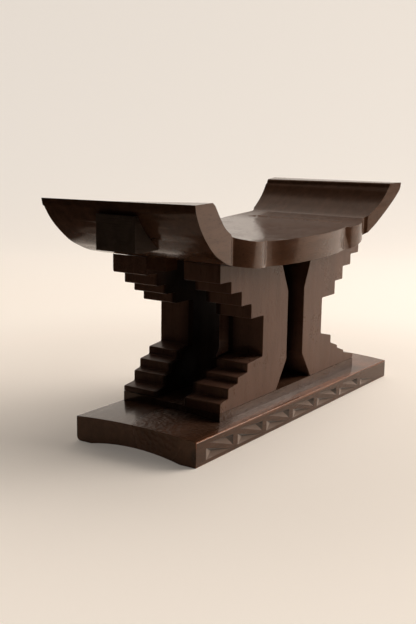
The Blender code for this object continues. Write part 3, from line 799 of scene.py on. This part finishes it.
def base_outer(a, b):
    middle = (a + b) / 2
    on_end = abs(middle.x - base_low.x) < 0.5 * MM or abs(middle.x - base_high.x) < 0.5 * MM
    on_side = abs(middle.y - base_low.y) < 0.05 * MM or abs(middle.y - base_high.y) < 0.05 * MM
    long_edge = abs(a.x - b.x) > 100 * MM
    return on_end or (on_side and long_edge)


def front_long_edge(a, b):
    return base_outer(a, b) and abs(a.x - b.x) > 100 * MM and max(a.y, b.y) < base_low.y + 1 * MM


def near_front_corner(a, b):
    return max(a.x, b.x) < base_low.x + 1 * MM and max(a.y, b.y) < base_low.y + 1 * MM


def on_plinth_top(a, b):
    """Edges of the plinth's top, clear of the mortises."""
    return min(a.z, b.z) > base_high.z - 0.1 * MM and (abs(a.y) > 40 * MM or abs((a.x + b.x) / 2) > 80 * MM)


rounded = soften(
    base, BACK_FOOT_ROUNDING, 40,
    lambda a, b: max(a.z, b.z) < 1 * MM and min(a.y, b.y) > base_high.y - 1 * MM, segments=5,
)
rubbed = soften(base, BASE_EASE, 40, front_long_edge, rubbed=True)
rubbed += soften(base, BASE_EASE, 40, near_front_corner, rubbed=True)
eased = soften(base, BASE_EASE, 40, base_outer)
plinth = soften(base, PLINTH_EASE, 40, on_plinth_top)
print("rounded", rounded, "rubbed", rubbed, "eased", eased, "and", plinth, "on the plinth")

# %% [markdown]
# ## The row of chips
#
# Along the base's front edge runs a frieze of triangular pockets in two rows, with a zigzag rib
# left between them. A chip carver makes each pocket with two steep stop cuts and one long
# slicing cut, so it is deep at its tall end and runs out to nothing at the other. The blank has
# the pockets already. Their rims were touched by hands and floors for years, so they get a
# bevel much finer than the outer edges have. It is what makes the ribs glint.

# %% Ease the rims of the chips
CHIP_EDGE_EASE = 0.18 * MM


def chip_rim(a, b):
    """An edge of a pocket that lies on the front face, away from the face's own outline."""
    on_face = max(abs(a.y - base_low.y), abs(b.y - base_low.y)) < 0.05 * MM
    high_enough = min(a.z, b.z) > 1.5 * MM and max(a.z, b.z) < 14.5 * MM
    return on_face and high_enough and min(abs(a.x - base_low.x), abs(b.x - base_high.x)) > 5 * MM


print("eased", soften(base, CHIP_EDGE_EASE, 8, chip_rim, segments=2), "rims of chips")
finish_piece(base, "base_board_wood", "base_board", smooth_angle=13)

# %% [markdown]
# ## Floor, backdrop and light
#
# The headrest stands on a pale cloth that sweeps up behind it. The floor and the backdrop are
# one sheet: a plane whose far edge is extruded upwards and whose fold is bevelled into a wide
# curve, so no line shows behind the object. One large soft light stands to the right, and a
# second hangs overhead. Polished wood shows whatever is round it, so the floor to the left and
# towards the camera is cut free and kept out of the reflections.

# %% Make the sweep
SWEEP_SIZE = 6.0
WALL_DISTANCE = 1.5                  # from the headrest to the foot of the backdrop
WALL_HEIGHT = 3.2
FOLD_WIDTH = 0.7
FRONT_LIMIT = -0.20                  # floor nearer to the camera than this stays out of the polish
FRONT_LIMIT_SLOPE = 0.40             # and the limit moves back by this much for each metre to the right
LEFT_LIMIT = -0.18                   # floor further left than this stays out of it too,
LEFT_OPEN_FROM = 0.30                # up to here
bpy.ops.object.select_all(action="DESELECT")
bpy.ops.mesh.primitive_plane_add(size=SWEEP_SIZE)
sweep = bpy.context.object
sweep.name = "sweep"
pick(sweep, "EDGE", lambda e: all(v.x > SWEEP_SIZE / 2 - 0.01 for v in ends_of(sweep, e)))
bpy.ops.transform.translate(value=(WALL_DISTANCE - SWEEP_SIZE / 2, 0, 0))
bpy.ops.mesh.extrude_region_move(TRANSFORM_OT_translate={"value": (0, 0, WALL_HEIGHT)})
leave_edit()
pick(sweep, "EDGE", lambda e: all(v.x > WALL_DISTANCE - 0.01 and v.z < 0.01 for v in ends_of(sweep, e)))
bpy.ops.mesh.bevel(offset=FOLD_WIDTH, segments=24, affect="EDGES")
leave_edit()

# %% Cut the outer floor free
cuts = (
    ((0, -LEFT_LIMIT, 0), (0, 1, 0)),
    ((FRONT_LIMIT, 0, 0), (1, FRONT_LIMIT_SLOPE, 0)),
    ((LEFT_OPEN_FROM, 0, 0), (1, 0, 0)),
)
for point, normal in cuts:
    pick(sweep, "FACE", lambda f: True)
    bpy.ops.mesh.bisect(plane_co=point, plane_no=normal)
    leave_edit()


def is_outer(face):
    """In the sheet, along the view is X and to the right is -Y."""
    along, right = face.center.x, -face.center.y
    too_near = along < FRONT_LIMIT + FRONT_LIMIT_SLOPE * right
    too_far_left = right < LEFT_LIMIT and along < LEFT_OPEN_FROM
    return too_near or too_far_left


print("outer faces:", pick(sweep, "FACE", is_outer))
bpy.ops.mesh.separate(type="SELECTED")
leave_edit()
outer = next(o for o in bpy.context.selected_objects if o is not sweep)
outer.name = "outer_floor"
outer.visible_glossy = False
outer.visible_diffuse = False

# %% The cloth: lamps light the floor, and a glow of its own keeps the backdrop even
CLOTH_COLOUR = (0.80, 0.73, 0.655)
FLOOR_GLOW = 0.17                    # under and round the piece
OPEN_FLOOR_GLOW = 0.33               # further out
WALL_GLOW = 0.87
WALL_SHADE = 0.22                    # how much of the lamps' light the backdrop still takes
cloth = bpy.data.materials.new("pale_cloth")
cloth.use_nodes = True
cloth_tree = cloth.node_tree
cloth_shader = cloth_tree.nodes["Principled BSDF"]
cloth_shader.inputs["Roughness"].default_value = 0.9
cloth_shader.inputs["Specular IOR Level"].default_value = 0.1
cloth_shader.inputs["Emission Color"].default_value = (*CLOTH_COLOUR, 1.0)
cloth_place = cloth_tree.nodes.new("ShaderNodeTexCoord").outputs["Object"]
cloth_axes = cloth_tree.nodes.new("ShaderNodeSeparateXYZ")
cloth_tree.links.new(cloth_place, cloth_axes.inputs[0])
on_wall = spread(cloth_tree, cloth_axes.outputs["X"], 0.35, 1.30)
in_the_open = spread(cloth_tree, vector_value(cloth_tree, "LENGTH", cloth_place), 0.17, 0.42)
open_glow = combine_values(cloth_tree, "MULTIPLY", in_the_open, OPEN_FLOOR_GLOW - FLOOR_GLOW)
wall_glow = combine_values(cloth_tree, "MULTIPLY", on_wall, WALL_GLOW - OPEN_FLOOR_GLOW)
glow = combine_values(cloth_tree, "ADD", combine_values(cloth_tree, "ADD", wall_glow, open_glow), FLOOR_GLOW)
cloth_tree.links.new(glow, cloth_shader.inputs["Emission Strength"])
shade = add_node(cloth_tree, "ShaderNodeMix", data_type="RGBA")
cloth_tree.links.new(on_wall, shade.inputs["Factor"])
for name, level in (("A", 1.0), ("B", WALL_SHADE)):
    socket = next(i for i in shade.inputs if i.name == name and i.type == "RGBA")
    socket.default_value = (*(v * level for v in CLOTH_COLOUR), 1.0)
cloth_colour = next(o for o in shade.outputs if o.type == "RGBA")
cloth_tree.links.new(cloth_colour, cloth_shader.inputs["Base Color"])
for sheet in (sweep, outer):
    sheet.rotation_euler = (0, 0, CAMERA_YAW)
    activate(sheet)
    bpy.ops.object.shade_smooth()
    sheet.data.materials.append(cloth)
print("the sweep measures", [round(v, 2) for v in sweep.dimensions], "m")


# %% Hang the lights
def soft_light(name, place, target, size, power, colour):
    data = bpy.data.lights.new(name, "AREA")
    data.shape = "RECTANGLE"
    data.size, data.size_y = size
    data.energy = power
    data.color = colour
    lamp = bpy.data.objects.new(name, data)
    bpy.context.scene.collection.objects.link(lamp)
    lamp.location = place
    lamp.rotation_euler = (Vector(target) - Vector(place)).to_track_quat("-Z", "Y").to_euler()
    print(name, "gives", power, "W")


soft_light("window_light", (2.0, -1.45, 1.30), (0, 0, 0.05), (1.7, 1.7), 72.0, (1.0, 0.94, 0.88))
soft_light("top_light", (0.9, -0.2, 1.9), (0.3, 0.1, 0.0), (1.6, 1.6), 14.0, (1.0, 0.95, 0.90))

# %% [markdown]
# ## The dark room
#
# The room is bright behind and above and dark towards the left. A gradient on the world does
# that. It takes the direction of each ray, measures how far it points to the bright side, and
# mixes from dark to bright.

# %% Set up the world
BRIGHT_SIDE = Vector((0.85, 0.15, 0.46)).normalized()
BRIGHT_GLOW = 0.60
DARK_GLOW = 0.03
world = bpy.data.worlds.new("studio")
world.use_nodes = True
room = world.node_tree
direction = room.nodes.new("ShaderNodeTexCoord").outputs["Generated"]
bright = spread(room, vector_value(room, "DOT_PRODUCT", direction, BRIGHT_SIDE), 0.35, 0.90)
glow = combine_values(room, "ADD", combine_values(room, "MULTIPLY", bright, BRIGHT_GLOW), DARK_GLOW)
background = room.nodes["Background"]
background.inputs["Color"].default_value = (1.0, 0.93, 0.86, 1.0)
room.links.new(glow, background.inputs["Strength"])
bpy.context.scene.world = world
bpy.context.scene.view_settings.view_transform = "Standard"
print("the room is brightest towards", [round(v, 2) for v in BRIGHT_SIDE])
